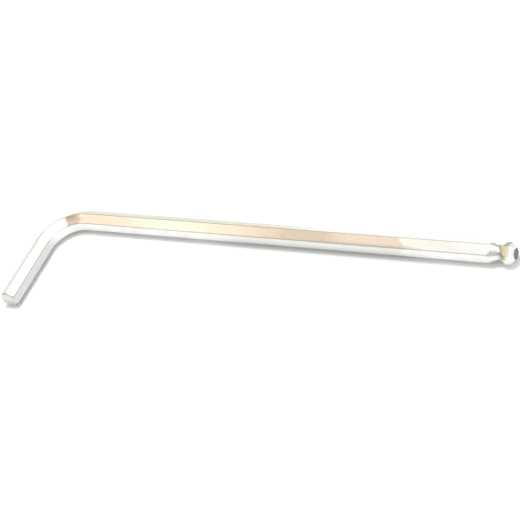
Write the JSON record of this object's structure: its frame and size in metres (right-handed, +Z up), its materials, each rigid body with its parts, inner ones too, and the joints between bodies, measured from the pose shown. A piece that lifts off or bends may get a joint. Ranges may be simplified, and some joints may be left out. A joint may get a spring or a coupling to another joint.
{
  "type": "hex key",
  "caption": "L-shaped six-sided steel key with a chamfered short arm and a ball-shaped tip on the long arm, for turning socket-head screws.",
  "frame": {"origin": "middle of the flat end face of the short arm", "axes": "+X along the long arm towards the ball, +Y along the short arm from its end towards the bend, +Z up out of the plane of the two arms, as the key lies on a bench"},
  "size_m": [0.114, 0.027, 0.0044],
  "materials": {
    "steel": "bright drawn steel, lightly plated, with fine lengthwise drawing lines"
  },
  "bodies": {
    "root": {"hex_key": "steel"}
  },
  "joints": []
}
